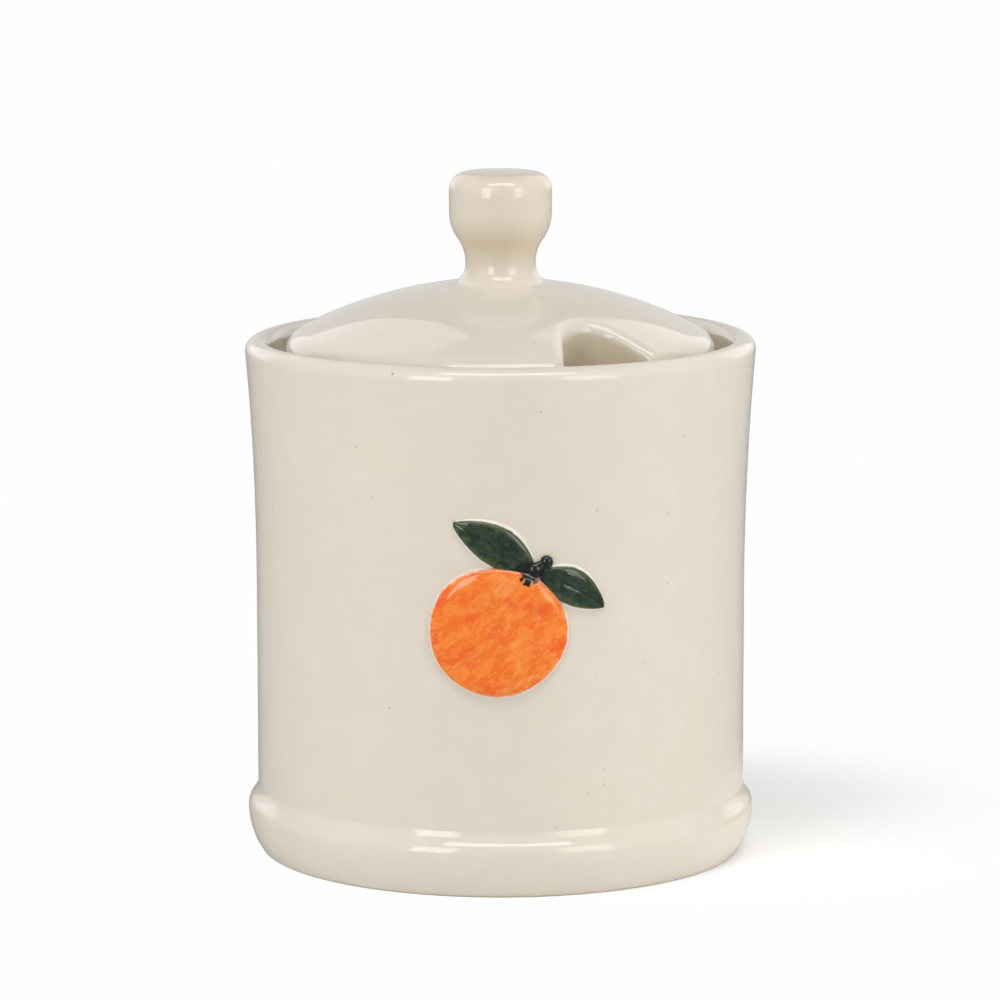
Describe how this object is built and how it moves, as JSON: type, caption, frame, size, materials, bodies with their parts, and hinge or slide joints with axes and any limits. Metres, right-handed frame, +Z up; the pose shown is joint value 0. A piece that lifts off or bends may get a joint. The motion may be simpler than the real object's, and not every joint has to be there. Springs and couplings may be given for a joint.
{
  "type": "lidded jam pot",
  "caption": "Glazed ceramic jam pot with a domed lift-off lid, a spoon notch in the lid's edge, a flared knob, and a fruit with leaves in relief on the front.",
  "frame": {"origin": "middle of the foot, on the surface that the pot stands on", "axes": "+Z up along the axis of the pot and its lid; the relief is on the -Y side"},
  "size_m": [0.086, 0.086, 0.1153],
  "materials": {
    "cream_glaze": "glossy cream glaze, warmer where it pools, with sparse fine specks",
    "orange_glaze": "brushed mottled orange colour under clear gloss glaze",
    "leaf_glaze": "brushed dark green colour under clear gloss glaze"
  },
  "bodies": {
    "pot": {"pot_wall": "cream_glaze", "pot_floor": "cream_glaze", "foot_band": "cream_glaze", "lid_gallery": "cream_glaze", "fruit_relief": "orange_glaze", "long_leaf": "leaf_glaze", "short_leaf": "leaf_glaze", "stem_nub": "leaf_glaze"},
    "lid": {"lid_dome": "cream_glaze", "locating_ring": "cream_glaze", "lid_knob": "cream_glaze"}
  },
  "joints": [
    {"name": "lid_lift", "type": "slide", "parent": "pot", "child": "lid", "axis": [0, 0, 1], "range_m": [0, 0.05]}
  ]
}
